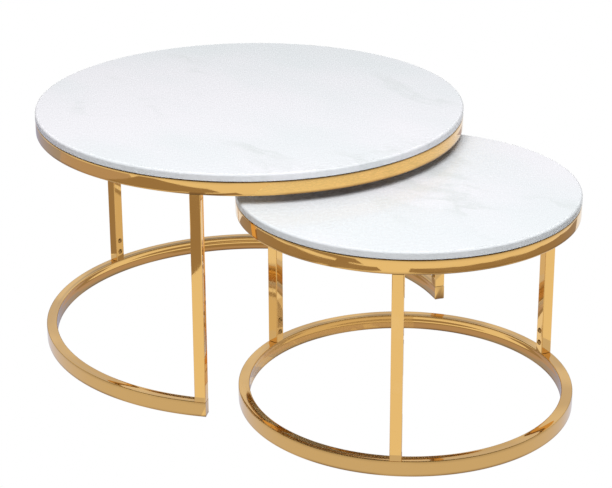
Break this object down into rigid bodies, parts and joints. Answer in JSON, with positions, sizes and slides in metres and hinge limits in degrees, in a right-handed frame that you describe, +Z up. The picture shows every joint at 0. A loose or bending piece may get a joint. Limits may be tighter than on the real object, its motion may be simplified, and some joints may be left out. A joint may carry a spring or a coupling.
{
  "type": "nesting tables",
  "caption": "Round nesting coffee tables with marble tops on polished gold tube frames; the low table slides in through the open side of the tall table's C-shaped foot.",
  "frame": {"origin": "on the floor, under the middle of the box round both tables as they stand, part way pulled out", "axes": "+X is the way the small table pulls out, along the line through both tables' centres; +Z is up"},
  "size_m": [1.115, 0.8, 0.458],
  "materials": {
    "white_marble": "polished white with faint grey veins",
    "polished_gold": "mirror-polished gold-plated stainless steel tube",
    "gold_screw": "gold-plated button-head screws",
    "plain_steel": "bare steel, hidden inside the legs",
    "clear_bumper": "clear soft bumper",
    "floor_glide": "thin translucent glide"
  },
  "bodies": {
    "large_table": {"large_arc_end_caps": "polished_gold", "large_bumper_pads": "clear_bumper", "large_floor_glides": "floor_glide", "large_foot_arc": "polished_gold", "large_foot_spigots": "plain_steel", "large_leg_front": "polished_gold", "large_leg_rear": "polished_gold", "large_leg_screws": "gold_screw", "large_leg_side": "polished_gold", "large_marble_top": "white_marble", "large_top_hoop": "polished_gold", "large_weld_nuts": "plain_steel"},
    "small_table": {"small_bumper_pads": "clear_bumper", "small_floor_glides": "floor_glide", "small_foot_ring": "polished_gold", "small_foot_spigots": "plain_steel", "small_leg_front": "polished_gold", "small_leg_rear": "polished_gold", "small_leg_screws": "gold_screw", "small_leg_side": "polished_gold", "small_marble_top": "white_marble", "small_top_hoop": "polished_gold", "small_weld_nuts": "plain_steel"}
  },
  "joints": [
    {"name": "pull_out", "type": "slide", "parent": "large_table", "child": "small_table", "axis": [1, 0, 0], "range_m": [-0.416, 0.3]}
  ]
}
